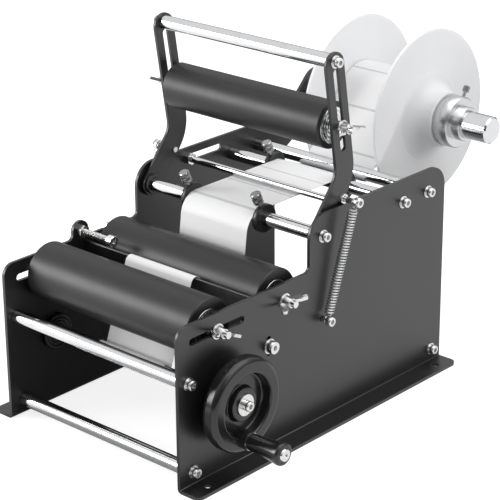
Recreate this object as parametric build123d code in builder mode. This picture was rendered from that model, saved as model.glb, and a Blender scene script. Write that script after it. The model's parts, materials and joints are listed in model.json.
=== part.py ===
from build123d import *
import os
from math import asin, atan2, cos, pi, radians, sin

# Bottle labelling machine: two folded side plates tied by rods carry two lower bottle rollers,
# a sprung press arm with a third roller, a label reel, web guides, a peel blade and a hand-cranked
# take-up shaft. Millimetres. X runs along the rollers with the handwheel at +X, Y runs from the
# operator to the reel, Z is up. The origin is on the floor midway between the foot holes.

os.makedirs("parts", exist_ok=True)

# Side plates: folded sheet, each place given as (Y, Z)
plate_gap = 196.0
plate_thickness = 3.0
plate_length = 340.0
plate_front_height = 141.0
plate_rear_height = 188.0
plate_step_setback = 156.6
front_corner_radius = 11.0
step_corner_radius = 21.0
step_root_radius = 5.0
rear_corner_radius = 20.0
foot_width = 23.0
foot_corner_radius = 6.0
foot_hole_diameter = 6.5
foot_hole_spacing_x = 224.0
foot_hole_spacing_y = 300.0
bend_inner_radius = 1.0
front_edge = -plate_length / 2
rear_edge = plate_length / 2
plate_step_y = front_edge + plate_step_setback
step_rise = plate_rear_height - plate_front_height

# Fits and standard hardware
running_clearance = 0.05
fixed_clearance = 0.03
screw_hole_clearance = 0.2
rod_thread = 5.0
thread_depth = 14.0
washer_diameter = 11.0
washer_thickness = 1.0
screw_head_diameter = 8.5
screw_head_height = 5.0
socket_width = 4.0
socket_depth = 2.5
small_nut_width = 8.0
small_nut_height = 4.0
edge_chamfer = 0.5

# Tie rods and web rods, set from the plates' ends, step and top edges
rod_diameter = 12.0
front_upper_rod_inset = 11.5
front_upper_rod_height = 92.0
front_lower_rod_inset = 15.0
rear_lower_rod_inset = 14.0
lower_rod_height = 14.0
rear_web_rod_inset = 25.0
web_rod_spacing = 35.0
web_rod_drop = 20.0
pivot_setback = 16.4
web_rod_height = plate_rear_height - web_rod_drop
front_upper_rod_at = (front_edge + front_upper_rod_inset, front_upper_rod_height)
front_lower_rod_at = (front_edge + front_lower_rod_inset, lower_rod_height)
rear_lower_rod_at = (rear_edge - rear_lower_rod_inset, lower_rod_height)
rear_web_rod_at = (rear_edge - rear_web_rod_inset, web_rod_height)
middle_web_rod_at = (rear_web_rod_at[0] - web_rod_spacing, web_rod_height)
arm_pivot_at = (plate_step_y + pivot_setback, web_rod_height)

# Lower bottle rollers and the press roller
front_roller_inset = 44.5
roller_spacing = 80.1
roller_drop = 15.0
front_roller_at = (front_edge + front_roller_inset, plate_front_height - roller_drop)
rear_roller_at = (front_roller_at[0] + roller_spacing, front_roller_at[1])
roller_diameter = 50.0
press_roller_diameter = 40.0
roller_end_gap = 6.0
bearing_diameter = 32.0
bearing_width = 8.0
roller_bore = 26.0
roller_shaft_diameter = 10.0
stud_thread = 6.0
stud_reach = 13.0
front_slot_back = 29.0
front_slot_forward = 28.0

# Wing nuts; each wing's corners are shares of half the span and of the height
wing_flange_diameter = 13.0
wing_flange_thickness = 1.5
wing_hub_height = 9.0
wing_span = 32.0
wing_height = 15.0
wing_thickness = 2.6
wing_corner_radius = 2.0
wing_shape = [(0.62, 0.27), (1.0, 0.75), (0.85, 1.0), (0.5, 0.8)]
front_wing_angle = -20.0
rear_wing_angle = 10.0
rear_left_wing_angle = 60.0
press_wing_angle = -5.0
press_left_wing_angle = -22.0

# Press arm: bent strips that hang on the pivot rod between the plates
arm_side_gap = 1.0
arm_thickness = 3.0
arm_width = 22.5
arm_knee_reach = 34.3
arm_knee_rise = 42.3
arm_top_reach = 18.3
arm_top_rise = 143.0
arm_knee = (arm_pivot_at[0] + arm_knee_reach, arm_pivot_at[1] + arm_knee_rise)
arm_top = (arm_pivot_at[0] + arm_top_reach, arm_pivot_at[1] + arm_top_rise)
arm_end_inset = 3.5
arm_bend_radius = 28.0
arm_boss_diameter = 18.0
arm_boss_length = 2.5
press_roller_drop = 58.0
arm_slot_start = 10.0
arm_slot_end = 76.0
handle_diameter = 12.0

# Press arm springs
post_reach = 28.0
post_rise = 24.6
post_at = (arm_pivot_at[0] + post_reach, arm_pivot_at[1] + post_rise)
post_head_gap = 12.0
spring_anchor_drop = 74.0
spring_anchor_at = (arm_pivot_at[0], arm_pivot_at[1] - spring_anchor_drop)
anchor_head_gap = 6.6
spring_diameter = 8.6
spring_wire = 1.6
spring_eye_diameter = 8.4
hook_gap = 0.3

# Bottle stop screw
stop_setback = 43.5
stop_rise = 6.0
stop_at = (front_roller_at[0] + stop_setback, plate_front_height + stop_rise)
stop_thread = 6.0
stop_tab_radius = 9.0
stop_tab_root_radius = 5.0
stop_reach = 35.0
stop_tail = 7.0
stop_head_diameter = 10.0
stop_head_height = 6.0
stop_nut_width = 10.0
stop_nut_height = 5.0

# Peel blade
peel_screw_reach = 18.6
peel_screw_drop = 34.0
peel_edge_reach = 32.6
peel_edge_rise = 11.0
peel_screw_at = (rear_roller_at[0] - peel_screw_reach, rear_roller_at[1] - peel_screw_drop)
peel_edge_at = (rear_roller_at[0] - peel_edge_reach, rear_roller_at[1] + peel_edge_rise)
peel_thickness = 2.0
peel_tail = 9.0
peel_end_gap = 0.5
peel_tab_width = 15.0
peel_tab_height = 20.0
peel_tab_depth = 5.0
peel_tab_radius = 3.0
peel_head_diameter = 11.0
peel_head_height = 6.0
peel_washer_diameter = 13.0
peel_slot_travel = 12.0

# Label web, label roll and reel
web_left = -42.5
web_right = 33.5
web_thickness = 0.4
web_clearance = 0.3
pivot_bend_radius = 18.0
peel_bend_radius = 5.0
reel_setback = 61.0
reel_rise = 15.7
reel_at = (rear_edge + reel_setback, plate_rear_height + reel_rise)
reel_disc_diameter = 160.0
reel_disc_thickness = 3.0
reel_side_gap = 0.7
reel_hub_diameter = 84.0
reel_hub_face_diameter = 51.0
reel_hub_height = 20.0
reel_shaft_diameter = 25.0
reel_shaft_shoulder = 28.0
reel_shaft_end = 107.5
reel_ear_radius = 20.0
reel_ear_root = 17.0
reel_ear_depth = 43.0
reel_ear_root_y = rear_edge + reel_ear_root
reel_ear_foot_z = plate_rear_height - reel_ear_depth
reel_screw_thread = 8.0
reel_screw_head_diameter = 13.0
reel_washer_diameter = 16.0
roll_core_bore = 65.0
roll_diameter = 74.0
roll_boss_depth = 9.0
roll_boss_wall = 3.0
roll_boss_gap = 0.4
collar_body_diameter = 47.0
collar_body_length = 15.0
collar_nose_diameter = 31.0
collar_nose_length = 8.0

# Web hold-down rod
hold_down_setback = 49.0
hold_down_gap = 0.5
hold_down_diameter = 6.0
hold_down_end = 88.0
hold_down_tail = 8.0
hold_down_travel = 41.0
hold_down_nut_width = 10.0
hold_down_nut_height = 5.0
paper_top = web_rod_height + rod_diameter / 2 + web_clearance + web_thickness
hold_down_at = (arm_pivot_at[0] + hold_down_setback, paper_top + hold_down_gap + hold_down_diameter / 2)

# Web edge collars and their knurled thumb screws
collar_diameter = 25.0
collar_width = 5.5
collar_gap = 0.5
thumb_thread = 3.0
thumb_head_diameter = 9.5
thumb_head_length = 10.5
thumb_neck = 4.0
thumb_tilt = 24.0
reel_thumb_head_diameter = 6.5
reel_thumb_head_length = 6.0
reel_thumb_neck = 5.0
reel_thumb_tilt = -33.0

# Take-up shaft and handwheel
takeup_inset = 53.5
takeup_lift = 2.5
takeup_at = (front_edge + takeup_inset, front_roller_at[1] / 2 + takeup_lift)
takeup_diameter = 12.0
takeup_end_gap = 9.0
takeup_journal = 10.0
takeup_tail = 4.0
takeup_winding_angle = 300.0
bearing_flange_diameter = 32.0
bearing_flange_thickness = 4.0
bearing_body_diameter = 24.0
wheel_diameter = 80.0
wheel_rim_width = 15.0
wheel_rim_height = 13.0
wheel_gap = 10.0
wheel_boss_diameter = 28.0
wheel_boss_setback = 4.0
wheel_web_thickness = 4.0
wheel_web_setback = 9.0
wheel_hub_gap = 2.0
wheel_hub_diameter = 22.0
wheel_draft = 1.0
wheel_small_radius = 1.0
wheel_recess_radius = 2.0
wheel_rim_radius = 5.0
wheel_washer_diameter = 18.0
wheel_washer_thickness = 1.5
grip_radius = 28.4
grip_angle = 263.9
grip_boss_diameter = 15.5
grip_boss_length = 5.0
grip_spindle_diameter = 6.0
grip_spindle_depth = 12.0
grip_collar_diameter = 15.0
grip_collar_length = 1.0
grip_length = 34.0
grip_base_diameter = 14.4
grip_belly_diameter = 18.8
grip_belly_share = 0.84
grip_end_diameter = 15.0
grip_cap_diameter = 10.8
grip_cap_length = 1.5
grip_socket_depth = 1.0

inner_x = plate_gap / 2
outer_x = inner_x + plate_thickness
screw_seat_x = outer_x + washer_thickness
arm_outer_x = inner_x - arm_side_gap
arm_inner_x = arm_outer_x - arm_thickness
all_rods = {
    "front_upper_rod": front_upper_rod_at,
    "front_lower_rod": front_lower_rod_at,
    "rear_lower_rod": rear_lower_rod_at,
    "rear_web_rod": rear_web_rod_at,
    "middle_web_rod": middle_web_rod_at,
    "arm_pivot_rod": arm_pivot_at,
}


def save(piece, name):
    """Label one finished piece and write its STEP file."""
    piece.label = name
    export_step(piece, f"parts/{name}.step")


def upright(x):
    """A sketch plane facing +X whose own axes are the machine's Y and Z."""
    return Plane(origin=(x, 0, 0), x_dir=(0, 1, 0), z_dir=(1, 0, 0))


def facing(x, at, outward, angle=0.0):
    """A plane at one place on a side plate, its Z towards +X or -X and its X turned from +Y."""
    x_dir = (0, cos(radians(angle)), sin(radians(angle)))
    return Plane(origin=(x, *at), x_dir=x_dir, z_dir=(outward, 0, 0))


def lengthwise(at):
    """A sketch plane through a line along X: its own axes are X and the radius above that line."""
    return Plane(origin=(0, *at), x_dir=(1, 0, 0), z_dir=(0, -1, 0))


def turned(outline, at):
    """A solid of revolution about a line along X; the outline is (X, radius) points."""
    with BuildPart() as piece:
        with BuildSketch(lengthwise(at)):
            with BuildLine():
                Polyline(*outline, close=True)
            make_face()
        revolve(axis=Axis((0, *at), (1, 0, 0)))
    return piece.part


def ring_outline(x_start, x_end, bore, diameter, chamfer_size=0.0):
    """The (X, radius) outline of a plain ring with broken outer corners."""
    low, high = min(x_start, x_end), max(x_start, x_end)
    if chamfer_size == 0:
        outer = [(low, diameter / 2), (high, diameter / 2)]
    else:
        outer = [
            (low, diameter / 2 - chamfer_size),
            (low + chamfer_size, diameter / 2),
            (high - chamfer_size, diameter / 2),
            (high, diameter / 2 - chamfer_size),
        ]
    return [(low, bore / 2), *outer, (high, bore / 2)]


def along(start, end, distance):
    """The (Y, Z) place at a distance from start towards end."""
    heading = atan2(end[1] - start[1], end[0] - start[0])
    return (start[0] + distance * cos(heading), start[1] + distance * sin(heading))


def tangent_run(first, second):
    """Ends of the straight run between two directed circles (centre, radius, turn).

    The turn is +1 for a circle that is passed anticlockwise in the Y-Z view and -1 otherwise."""
    (c1, r1, t1), (c2, r2, t2) = first, second
    dy, dz = c2[0] - c1[0], c2[1] - c1[1]
    heading = atan2(dz, dy) - asin((t2 * r2 - t1 * r1) / (dy**2 + dz**2) ** 0.5)
    normal = (-sin(heading), cos(heading))
    start = (c1[0] - t1 * r1 * normal[0], c1[1] - t1 * r1 * normal[1])
    end = (c2[0] - t2 * r2 * normal[0], c2[1] - t2 * r2 * normal[1])
    return start, end


def bend_points(wrap, start, sweep):
    """Middle and end of the arc that leaves start round one wrapped circle."""
    centre, radius, turn = wrap
    angle = atan2(start[1] - centre[1], start[0] - centre[0])
    places = (angle + turn * sweep / 2, angle + turn * sweep)
    return [(centre[0] + radius * cos(a), centre[1] + radius * sin(a)) for a in places]


def cap_screw(thread, length, head_diameter=screw_head_diameter, head_height=screw_head_height):
    """Socket head screw; its seat is at Z = 0 and its head points to +Z."""
    with BuildPart() as screw:
        Cylinder(head_diameter / 2, head_height, align=(Align.CENTER, Align.CENTER, Align.MIN))
        chamfer(screw.edges().filter_by(GeomType.CIRCLE).sort_by(Axis.Z)[-1], edge_chamfer)
        with BuildSketch(Plane.XY.offset(head_height)):
            RegularPolygon(socket_width / 2, 6, major_radius=False)
        extrude(amount=-socket_depth, mode=Mode.SUBTRACT)
        Cylinder(thread / 2, length, align=(Align.CENTER, Align.CENTER, Align.MAX))
    return screw.part


def washer(bore, diameter=washer_diameter, thickness=washer_thickness):
    """Flat washer that stands on Z = 0."""
    with BuildPart() as ring:
        with BuildSketch():
            Circle(diameter / 2)
            Circle(bore / 2, mode=Mode.SUBTRACT)
        extrude(amount=thickness)
    return ring.part


def hex_nut(thread, width, height):
    """Hexagon nut that stands on Z = 0."""
    with BuildPart() as nut:
        with BuildSketch():
            RegularPolygon(width / 2, 6, major_radius=False, rotation=90)
            Circle(thread / 2 + running_clearance, mode=Mode.SUBTRACT)
        extrude(amount=height)
    return nut.part


def wing_nut():
    """Flanged wing nut that stands on Z = 0, with its two wings along local X."""
    hub_base = wing_flange_diameter / 2 - 2 * edge_chamfer
    wing_root = stud_thread / 2 + 2 * edge_chamfer
    corners = [(wide * wing_span / 2, high * wing_height) for wide, high in wing_shape]
    on_floor = (Align.CENTER, Align.CENTER, Align.MIN)
    with BuildPart() as nut:
        Cylinder(wing_flange_diameter / 2, wing_flange_thickness, align=on_floor)
        Cone(hub_base, wing_root, wing_hub_height, align=on_floor)
        with BuildSketch(Plane.XZ):
            with BuildLine():
                FilletPolyline(
                    (wing_root, wing_flange_thickness),
                    *corners,
                    (wing_root, wing_hub_height - 2 * edge_chamfer),
                    radius=[0, *[wing_corner_radius for _ in corners], 0],
                    close=True,
                )
            make_face()
            mirror(about=Plane.YZ)
        extrude(amount=wing_thickness / 2, both=True)
        with BuildSketch():
            Circle(stud_thread / 2 + running_clearance)
        extrude(amount=wing_height, mode=Mode.SUBTRACT)
    return nut.part


def thumb_screw(seat_radius, neck_top, head_diameter, head_length):
    """Thumb screw whose tip is at seat_radius along Z and whose head starts at neck_top."""
    with BuildPart() as screw:
        with BuildSketch(Plane.XZ):
            with BuildLine():
                Polyline(
                    (0, seat_radius),
                    (thumb_thread / 2, seat_radius),
                    (thumb_thread / 2, neck_top),
                    (head_diameter / 2 - edge_chamfer, neck_top),
                    (head_diameter / 2, neck_top + edge_chamfer),
                    (head_diameter / 2, neck_top + head_length - edge_chamfer),
                    (head_diameter / 2 - edge_chamfer, neck_top + head_length),
                    (0, neck_top + head_length),
                    close=True,
                )
            make_face()
        revolve(axis=Axis.Z)
    return screw.part


# Side plates: one bent sheet each, the left one carrying the bottle stop tab, the hold-down slot
# and the ear that holds the reel shaft.
def side_plate(outward):
    is_left = outward < 0
    face_x = outward * inner_x
    clear_screw = rod_thread / 2 + screw_hole_clearance
    step_corner = min(step_corner_radius, step_rise - step_root_radius - edge_chamfer)
    with BuildPart() as plate:
        with BuildSketch(upright(face_x)) as outline:
            with BuildLine():
                FilletPolyline(
                    (front_edge, 0),
                    (front_edge, plate_front_height),
                    (plate_step_y, plate_front_height),
                    (plate_step_y, plate_rear_height),
                    (rear_edge, plate_rear_height),
                    (rear_edge, 0),
                    radius=[
                        0,
                        front_corner_radius,
                        step_root_radius,
                        step_corner,
                        0 if is_left else rear_corner_radius,
                        0,
                    ],
                    close=True,
                )
            make_face()
            if is_left:
                tab_base = plate_front_height - stop_tab_radius
                with Locations((stop_at[0], (tab_base + stop_at[1]) / 2)):
                    Rectangle(2 * stop_tab_radius, stop_at[1] - tab_base)
                with Locations(stop_at):
                    Circle(stop_tab_radius)
                roots = [
                    outline.vertices().sort_by_distance((stop_at[0] + side, plate_front_height))[0]
                    for side in (-stop_tab_radius, stop_tab_radius)
                ]
                fillet(roots, stop_tab_root_radius)
                ear_top = (reel_ear_root_y, plate_rear_height)
                ear_foot = (rear_edge, reel_ear_foot_z)
                ear_end = (reel_at, reel_ear_radius, 1)
                upper = tangent_run(ear_end, (ear_top, 0, 1))[0]
                lower = tangent_run((ear_foot, 0, 1), ear_end)[1]
                with BuildLine():
                    Polyline(
                        (rear_edge - rear_corner_radius, plate_rear_height),
                        ear_top,
                        upper,
                        reel_at,
                        lower,
                        ear_foot,
                        (rear_edge - rear_corner_radius, reel_ear_foot_z),
                        close=True,
                    )
                make_face()
                with Locations(reel_at):
                    Circle(reel_ear_radius)
                    Circle(reel_screw_thread / 2 + screw_hole_clearance, mode=Mode.SUBTRACT)
                with Locations(stop_at):
                    Circle(stop_thread / 2 + running_clearance, mode=Mode.SUBTRACT)
                with Locations((hold_down_at[0] + hold_down_travel / 2, hold_down_at[1])):
                    SlotCenterToCenter(
                        hold_down_travel,
                        hold_down_diameter + 2 * screw_hole_clearance,
                        mode=Mode.SUBTRACT,
                    )
            with Locations(*all_rods.values(), spring_anchor_at):
                Circle(clear_screw, mode=Mode.SUBTRACT)
            with Locations(rear_roller_at):
                Circle(stud_thread / 2 + screw_hole_clearance, mode=Mode.SUBTRACT)
            with Locations(takeup_at):
                Circle(bearing_body_diameter / 2 + fixed_clearance, mode=Mode.SUBTRACT)
            slot_middle = front_roller_at[0] + (front_slot_back - front_slot_forward) / 2
            with Locations((slot_middle, front_roller_at[1])):
                SlotCenterToCenter(
                    front_slot_back + front_slot_forward,
                    stud_thread + 2 * screw_hole_clearance,
                    mode=Mode.SUBTRACT,
                )
            with Locations(peel_screw_at):
                SlotCenterToCenter(peel_slot_travel, 2 * clear_screw, rotation=90, mode=Mode.SUBTRACT)
        extrude(amount=outward * plate_thickness)
        with BuildSketch(Plane.XY):
            with Locations((face_x + outward * foot_width / 2, 0)):
                Rectangle(foot_width, plate_length)
        extrude(amount=plate_thickness)
        along_y = plate.edges().filter_by(Axis.Y)
        bend_inside = along_y.sort_by_distance((outward * outer_x, 0, plate_thickness))[0]
        fillet(bend_inside, bend_inner_radius)
        bend_outside = plate.edges().filter_by(Axis.Y).sort_by_distance((face_x, 0, 0))[0]
        fillet(bend_outside, bend_inner_radius + plate_thickness)
        foot_corners = plate.edges().filter_by(Axis.Z).group_by(Axis.X)[0 if is_left else -1]
        fillet(foot_corners, foot_corner_radius)
        with Locations(
            (outward * foot_hole_spacing_x / 2, -foot_hole_spacing_y / 2, 0),
            (outward * foot_hole_spacing_x / 2, foot_hole_spacing_y / 2, 0),
        ):
            Cylinder(foot_hole_diameter / 2, 3 * plate_thickness, mode=Mode.SUBTRACT)
    return plate.part


save(side_plate(-1), "left_side_plate")
save(side_plate(1), "right_side_plate")


# Round rods between the plates, tapped at both ends
def tapped_rod(at, half_length, diameter):
    outer = ring_outline(-half_length, half_length, rod_thread, diameter, edge_chamfer)
    bottom = half_length - thread_depth
    tap = rod_thread / 2
    return turned([*outer, (bottom, tap), (bottom, 0), (-bottom, 0), (-bottom, tap)], at)


for rod_name, rod_at in all_rods.items():
    save(tapped_rod(rod_at, inner_x, rod_diameter), rod_name)

# Screws and washers that close each rod, and the large screw of the reel shaft
rod_screw_length = washer_thickness + plate_thickness + thread_depth - 2 * edge_chamfer
shank = rod_thread - 2 * fixed_clearance
reel_screw_shank = reel_screw_thread - 2 * fixed_clearance
with BuildPart() as frame_screws:
    for rod_at in all_rods.values():
        with Locations(facing(screw_seat_x, rod_at, 1), facing(-screw_seat_x, rod_at, -1)):
            add(cap_screw(shank, rod_screw_length))
    with Locations(facing(-screw_seat_x, reel_at, -1)):
        add(cap_screw(reel_screw_shank, rod_screw_length, reel_screw_head_diameter, reel_screw_thread))
save(frame_screws.part, "frame_screws")

with BuildPart() as frame_washers:
    for rod_at in all_rods.values():
        with Locations(facing(outer_x, rod_at, 1), facing(-outer_x, rod_at, -1)):
            add(washer(rod_thread + screw_hole_clearance))
    with Locations(facing(-outer_x, reel_at, -1)):
        add(washer(reel_screw_thread + screw_hole_clearance, reel_washer_diameter))
    with Locations(facing(arm_outer_x, arm_pivot_at, 1), facing(-arm_outer_x, arm_pivot_at, -1)):
        add(washer(rod_diameter + screw_hole_clearance, arm_boss_diameter, arm_side_gap))
save(frame_washers.part, "frame_washers")

# Hexagon nuts behind the spring anchors and the bottle stop
with BuildPart() as frame_nuts:
    with Locations(facing(inner_x, spring_anchor_at, -1), facing(-inner_x, spring_anchor_at, 1)):
        add(hex_nut(rod_thread, small_nut_width, small_nut_height))
    with Locations(facing(-inner_x, stop_at, 1)):
        add(hex_nut(stop_thread, stop_nut_width, stop_nut_height))
save(frame_nuts.part, "frame_nuts")

# Bottle stop: a long socket screw through the tab
stop_length = stop_reach + plate_thickness + stop_tail
stop_seat = facing(-inner_x + stop_reach, stop_at, 1)
with BuildPart() as bottle_stop_screw:
    with Locations(stop_seat):
        add(cap_screw(stop_thread, stop_length, stop_head_diameter, stop_head_height))
save(bottle_stop_screw.part, "bottle_stop_screw")


# Rollers: a thick sleeve on two ball bearings and a shouldered shaft whose studs take wing nuts
def roller_sleeve(at, half_length, diameter):
    seat = bearing_diameter / 2 + fixed_clearance
    shelf = half_length - bearing_width
    outer = ring_outline(-half_length, half_length, 2 * seat, diameter, 2 * edge_chamfer)
    bore = roller_bore / 2
    return turned([*outer, (shelf, seat), (shelf, bore), (-shelf, bore), (-shelf, seat)], at)


def roller_bearings(at, half_length):
    bore = roller_shaft_diameter + 2 * running_clearance
    with BuildPart() as bearings:
        for end in (-half_length, half_length - bearing_width):
            add(turned(ring_outline(end, end + bearing_width, bore, bearing_diameter, edge_chamfer), at))
    return bearings.part


def roller_shaft(at, shoulder_x, stud_end_x):
    stud, body = stud_thread / 2, roller_shaft_diameter / 2
    right = [(shoulder_x, body), (shoulder_x, stud), (stud_end_x, stud), (stud_end_x, 0)]
    return turned([(-x, r) for x, r in reversed(right)] + right, at)


lower_half = inner_x - roller_end_gap
press_half = arm_inner_x - roller_end_gap
press_roller_at = along(arm_top, arm_knee, press_roller_drop)
rollers = {
    "front_roller": (front_roller_at, lower_half, roller_diameter, inner_x, outer_x),
    "rear_roller": (rear_roller_at, lower_half, roller_diameter, inner_x, outer_x),
    "press_roller": (press_roller_at, press_half, press_roller_diameter, arm_inner_x, arm_outer_x),
}
wing_angles = {
    "front_roller": (front_wing_angle, front_wing_angle),
    "rear_roller": (rear_left_wing_angle, rear_wing_angle),
    "press_roller": (press_left_wing_angle, press_wing_angle),
}
for roller, (roller_at, half_length, diameter, shoulder_x, seat_x) in rollers.items():
    save(roller_sleeve(roller_at, half_length, diameter), roller)
    save(roller_bearings(roller_at, half_length), f"{roller}_bearings")
    save(roller_shaft(roller_at, shoulder_x, seat_x + stud_reach), f"{roller}_shaft")
    for side, outward, angle in zip(("left", "right"), (-1, 1), wing_angles[roller]):
        seat = facing(outward * seat_x, roller_at, outward, angle)
        with BuildPart() as wing:
            with Locations(seat):
                add(wing_nut())
        save(wing.part, f"{roller}_wing_nut_{side}")


# Press arm: two bent and slotted strips with a boss round the pivot rod
def press_arm(outward):
    arm_end = along(arm_top, arm_knee, arm_end_inset)
    slot_width = stud_thread + 2 * screw_hole_clearance
    with BuildPart() as arm:
        with BuildSketch(upright(outward * arm_inner_x)):
            with BuildLine() as spine:
                FilletPolyline(arm_pivot_at, arm_knee, arm_end, radius=[arm_bend_radius])
            SlotArc(spine.wire(), arm_width)
            with BuildLine() as slot_line:
                Line(along(arm_top, arm_knee, arm_slot_start), along(arm_top, arm_knee, arm_slot_end))
            SlotArc(slot_line.wire(), slot_width, mode=Mode.SUBTRACT)
            with Locations(arm_top, post_at):
                Circle(rod_thread / 2 + screw_hole_clearance, mode=Mode.SUBTRACT)
        extrude(amount=outward * arm_thickness)
        with BuildSketch(upright(outward * arm_inner_x)):
            with Locations(arm_pivot_at):
                Circle(arm_boss_diameter / 2)
        extrude(amount=-outward * arm_boss_length)
        with BuildSketch(upright(outward * arm_outer_x)):
            with Locations(arm_pivot_at):
                Circle(rod_diameter / 2 + running_clearance)
        extrude(amount=-outward * (arm_thickness + arm_boss_length), mode=Mode.SUBTRACT)
    return arm.part


save(press_arm(-1), "left_arm")
save(press_arm(1), "right_arm")
save(tapped_rod(arm_top, arm_inner_x, handle_diameter), "handle_bar")

arm_seat_x = arm_outer_x + washer_thickness
post_seat_x = outer_x + post_head_gap
post_end_x = arm_inner_x - 2 * edge_chamfer
with BuildPart() as arm_screws:
    with Locations(facing(arm_seat_x, arm_top, 1), facing(-arm_seat_x, arm_top, -1)):
        add(cap_screw(shank, rod_screw_length))
    with Locations(facing(post_seat_x, post_at, 1), facing(-post_seat_x, post_at, -1)):
        add(cap_screw(shank, post_seat_x - post_end_x))
save(arm_screws.part, "arm_screws")

with BuildPart() as arm_washers:
    with Locations(facing(arm_outer_x, arm_top, 1), facing(-arm_outer_x, arm_top, -1)):
        add(washer(rod_thread + screw_hole_clearance))
save(arm_washers.part, "arm_washers")

with BuildPart() as arm_nuts:
    with Locations(facing(arm_outer_x, post_at, 1), facing(-arm_outer_x, post_at, -1)):
        add(hex_nut(rod_thread, small_nut_width, small_nut_height))
save(arm_nuts.part, "arm_nuts")

# Tension springs between the lower anchors on the plates and the posts on the arms
anchor_seat_x = outer_x + anchor_head_gap
anchor_end_x = inner_x - small_nut_height - 2 * edge_chamfer
with BuildPart() as spring_anchor_screws:
    with Locations(
        facing(anchor_seat_x, spring_anchor_at, 1), facing(-anchor_seat_x, spring_anchor_at, -1)
    ):
        add(cap_screw(shank, anchor_seat_x - anchor_end_x))
save(spring_anchor_screws.part, "spring_anchor_screws")

eye_radius = spring_eye_diameter / 2
eye_shift = eye_radius - spring_wire / 2 - rod_thread / 2 - hook_gap
eye_low = along(spring_anchor_at, post_at, eye_shift)
eye_high = along(post_at, spring_anchor_at, eye_shift)
coil_low = along(eye_low, eye_high, eye_radius)
coil_high = along(eye_high, eye_low, eye_radius)
low_hook_x = anchor_seat_x - spring_wire / 2 - hook_gap
high_hook_x = post_seat_x - spring_wire / 2 - hook_gap
with BuildPart() as arm_springs:
    for outward in (-1, 1):
        low = Vector(outward * low_hook_x, *coil_low)
        high = Vector(outward * high_hook_x, *coil_high)
        with Locations(facing(low.X, eye_low, 1), facing(high.X, eye_high, 1)):
            Torus(eye_radius, spring_wire / 2)
        with BuildSketch(Plane(origin=low, z_dir=high - low)):
            Circle(spring_diameter / 2)
        extrude(amount=(high - low).length)
save(arm_springs.part, "arm_springs")


# Peel blade: a sheet leaning forward to a rounded edge, with a screw tab at each end
def peel_profile():
    lean = along(peel_screw_at, peel_edge_at, 1.0)
    normal = (lean[1] - peel_screw_at[1], peel_screw_at[0] - lean[0])
    tail = along(peel_screw_at, peel_edge_at, -peel_tail)
    half = peel_thickness / 2
    return [
        (place[0] + side * half * normal[0], place[1] + side * half * normal[1])
        for side, places in ((-1, (tail, peel_edge_at)), (1, (peel_edge_at, tail)))
        for place in places
    ]


blade_end_x = inner_x - peel_end_gap
with BuildPart() as peel_plate:
    with BuildSketch(upright(-blade_end_x)):
        with BuildLine():
            Polyline(*peel_profile(), close=True)
        make_face()
        with Locations(peel_edge_at):
            Circle(peel_thickness / 2)
    extrude(amount=2 * blade_end_x)
    for outward in (-1, 1):
        with BuildSketch(upright(outward * inner_x)):
            with Locations(peel_screw_at):
                RectangleRounded(peel_tab_width, peel_tab_height, peel_tab_radius)
        extrude(amount=-outward * peel_tab_depth)
        with BuildSketch(upright(outward * inner_x)):
            with Locations(peel_screw_at):
                Circle(rod_thread / 2)
        extrude(amount=-outward * peel_tab_depth, mode=Mode.SUBTRACT)
save(peel_plate.part, "peel_plate")

peel_seat_x = outer_x + washer_thickness + fixed_clearance
peel_screw_length = peel_seat_x - inner_x + peel_tab_depth
with BuildPart() as peel_screws:
    with Locations(facing(outer_x, peel_screw_at, 1), facing(-outer_x, peel_screw_at, -1)):
        add(washer(rod_thread + screw_hole_clearance, peel_washer_diameter))
    with Locations(facing(peel_seat_x, peel_screw_at, 1), facing(-peel_seat_x, peel_screw_at, -1)):
        add(cap_screw(shank, peel_screw_length, peel_head_diameter, peel_head_height))
save(peel_screws.part, "peel_screws")

# Hold-down rod: a thin rod clamped in the left plate's slot by two nuts, reaching over the web
hold_down_start = -outer_x - hold_down_nut_height - hold_down_tail
hold_down_outline = ring_outline(hold_down_start, hold_down_end, 0, hold_down_diameter, edge_chamfer)
save(turned(hold_down_outline, hold_down_at), "hold_down_rod")
with BuildPart() as hold_down_nuts:
    with Locations(facing(-inner_x, hold_down_at, 1), facing(-outer_x, hold_down_at, -1)):
        add(hex_nut(hold_down_diameter, hold_down_nut_width, hold_down_nut_height))
save(hold_down_nuts.part, "hold_down_nuts")

# Web edge collars: rings on the pivot rod and the middle rod, each locked by a thumb screw
thumb_seat = rod_diameter / 2 + fixed_clearance
thumb_neck_top = collar_diameter / 2 + thumb_neck
for rod_label, rod_at in (("guide", arm_pivot_at), ("rear", middle_web_rod_at)):
    thumb_plane = Plane.XY.rotated((thumb_tilt, 0, 0))
    for side, edge_x, outward in (("left", web_left, -1), ("right", web_right, 1)):
        start_x = edge_x + outward * collar_gap
        end_x = start_x + outward * collar_width
        middle_x = (start_x + end_x) / 2
        collar_bore = rod_diameter + 2 * running_clearance
        body = turned(ring_outline(start_x, end_x, collar_bore, collar_diameter, edge_chamfer), rod_at)
        screw_place = Location((middle_x, *rod_at)) * thumb_plane.location
        with BuildPart() as collar:
            add(body)
            with BuildSketch(Plane(screw_place)):
                Circle(thumb_thread / 2 + running_clearance)
            extrude(amount=collar_diameter, mode=Mode.SUBTRACT)
        save(collar.part, f"{rod_label}_collar_{side}")
        with BuildPart() as thumb:
            with Locations(screw_place):
                add(thumb_screw(thumb_seat, thumb_neck_top, thumb_head_diameter, thumb_head_length))
        save(thumb.part, f"{rod_label}_thumb_screw_{side}")

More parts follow.
